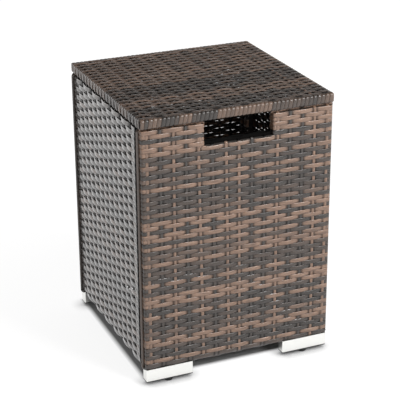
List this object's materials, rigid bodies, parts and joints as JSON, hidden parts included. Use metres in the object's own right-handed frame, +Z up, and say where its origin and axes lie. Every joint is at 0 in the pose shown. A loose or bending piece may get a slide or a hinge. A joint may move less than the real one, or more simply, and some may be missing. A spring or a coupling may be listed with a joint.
{
  "type": "propane tank cover table",
  "caption": "Square woven-strand box on short metal feet that hides a gas bottle, with a lift-off table top and a hand and hose notch at the front.",
  "frame": {"origin": "on the floor under the middle of the box", "axes": "+Z up; the notched front faces -Y; +X to the right seen from the front"},
  "size_m": [0.4, 0.4, 0.55],
  "materials": {
    "woven_strand": "flat resin strand, satin, mixed browns",
    "frame_tube": "dark powder coat",
    "foot_metal": "fine brushed",
    "black_plastic": "moulded",
    "bumper_rubber": "matte",
    "plated_steel": "zinc plated"
  },
  "bodies": {
    "base": {"front_panel_frame": "frame_tube", "front_panel_weave": "woven_strand", "back_panel_frame": "frame_tube", "back_panel_weave": "woven_strand", "left_panel_frame": "frame_tube", "left_panel_mid_rail": "frame_tube", "left_panel_weave": "woven_strand", "right_panel_frame": "frame_tube", "right_panel_mid_rail": "frame_tube", "right_panel_weave": "woven_strand", "foot_front_left": "foot_metal", "foot_plug_front_left": "black_plastic", "foot_screw_front_left_a": "plated_steel", "foot_screw_front_left_b": "plated_steel", "panel_bolt_front_left_low": "plated_steel", "rivet_nut_front_left_low": "plated_steel", "panel_bolt_front_left_high": "plated_steel", "rivet_nut_front_left_high": "plated_steel", "foot_front_right": "foot_metal", "foot_plug_front_right": "black_plastic", "foot_screw_front_right_a": "plated_steel", "foot_screw_front_right_b": "plated_steel", "panel_bolt_front_right_low": "plated_steel", "rivet_nut_front_right_low": "plated_steel", "panel_bolt_front_right_high": "plated_steel", "rivet_nut_front_right_high": "plated_steel", "foot_back_left": "foot_metal", "foot_plug_back_left": "black_plastic", "foot_screw_back_left_a": "plated_steel", "foot_screw_back_left_b": "plated_steel", "panel_bolt_back_left_low": "plated_steel", "rivet_nut_back_left_low": "plated_steel", "panel_bolt_back_left_high": "plated_steel", "rivet_nut_back_left_high": "plated_steel", "foot_back_right": "foot_metal", "foot_plug_back_right": "black_plastic", "foot_screw_back_right_a": "plated_steel", "foot_screw_back_right_b": "plated_steel", "panel_bolt_back_right_low": "plated_steel", "rivet_nut_back_right_low": "plated_steel", "panel_bolt_back_right_high": "plated_steel", "rivet_nut_back_right_high": "plated_steel"},
    "lid": {"lid_locator_front_left": "black_plastic", "lid_bumper_front_left": "bumper_rubber", "lid_locator_front_right": "black_plastic", "lid_bumper_front_right": "bumper_rubber", "lid_locator_back_left": "black_plastic", "lid_bumper_back_left": "bumper_rubber", "lid_locator_back_right": "black_plastic", "lid_bumper_back_right": "bumper_rubber", "lid_frame": "frame_tube", "lid_weave": "woven_strand"},
    "glide_front_left": {"glide_pad_front_left": "black_plastic", "glide_stem_front_left": "plated_steel"},
    "glide_front_right": {"glide_pad_front_right": "black_plastic", "glide_stem_front_right": "plated_steel"},
    "glide_back_left": {"glide_pad_back_left": "black_plastic", "glide_stem_back_left": "plated_steel"},
    "glide_back_right": {"glide_pad_back_right": "black_plastic", "glide_stem_back_right": "plated_steel"}
  },
  "joints": [
    {"name": "lid_lift", "type": "slide", "parent": "base", "child": "lid", "axis": [0, 0, 1], "range_m": [0, 0.1]},
    {"name": "glide_front_left_level", "type": "slide", "parent": "base", "child": "glide_front_left", "axis": [0, 0, -1], "range_m": [0, 0.008]},
    {"name": "glide_front_right_level", "type": "slide", "parent": "base", "child": "glide_front_right", "axis": [0, 0, -1], "range_m": [0, 0.008]},
    {"name": "glide_back_left_level", "type": "slide", "parent": "base", "child": "glide_back_left", "axis": [0, 0, -1], "range_m": [0, 0.008]},
    {"name": "glide_back_right_level", "type": "slide", "parent": "base", "child": "glide_back_right", "axis": [0, 0, -1], "range_m": [0, 0.008]}
  ]
}
